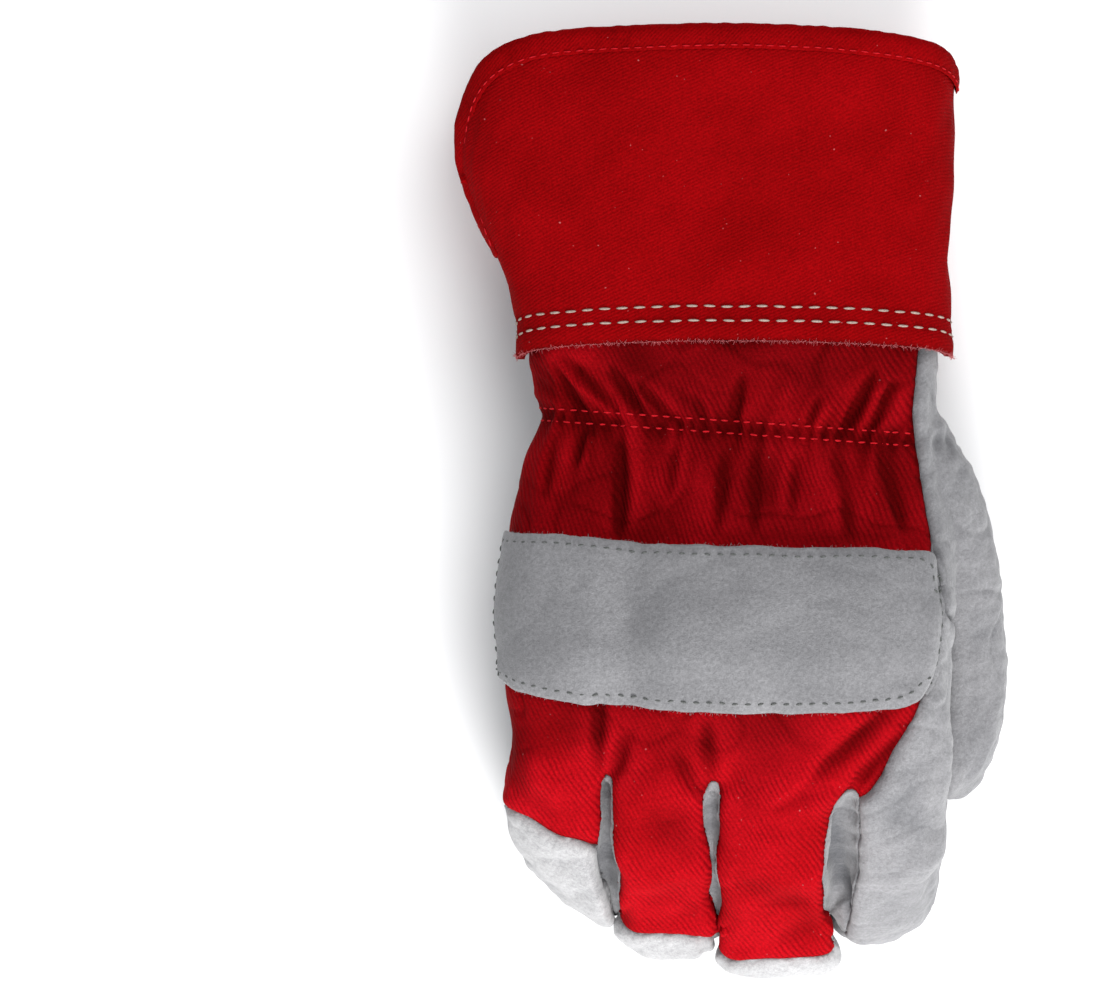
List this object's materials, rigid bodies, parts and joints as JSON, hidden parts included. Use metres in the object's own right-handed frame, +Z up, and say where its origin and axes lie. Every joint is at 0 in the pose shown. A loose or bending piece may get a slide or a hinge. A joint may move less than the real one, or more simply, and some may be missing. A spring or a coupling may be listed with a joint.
{
  "type": "rigger glove",
  "caption": "Right-hand work glove with a split-leather palm, index finger and thumb, a gathered canvas back with a leather knuckle strap, and a stiff flared cuff that is slit on one side.",
  "frame": {"origin": "middle of the glove's footprint, on the surface that it lies on palm down", "axes": "+Y towards the cuff's mouth, +X to the thumb side, +Z up out of the back of the hand"},
  "size_m": [0.1326, 0.2218, 0.0647],
  "materials": {
    "split_leather": "grey split leather, napped",
    "welt_leather": "dark grey leather cord",
    "back_canvas": "red drill canvas, matt",
    "cuff_canvas": "red stiffened twill, matt",
    "binding_tape": "red woven tape, matt"
  },
  "bodies": {
    "root": {"cuff": "cuff_canvas", "cuff_binding": "binding_tape", "vein_patch": "split_leather", "back_panel": "back_canvas", "knuckle_strap": "split_leather", "palm_panel": "split_leather", "thumb_back": "split_leather", "front_middle": "split_leather", "front_ring": "split_leather", "palm_welt": "welt_leather", "fourchette_index_middle": "split_leather", "fourchette_middle_ring": "split_leather", "fourchette_ring_little": "split_leather", "fingertip_middle": "split_leather", "fingertip_ring": "split_leather", "fingertip_little": "split_leather"}
  },
  "joints": []
}
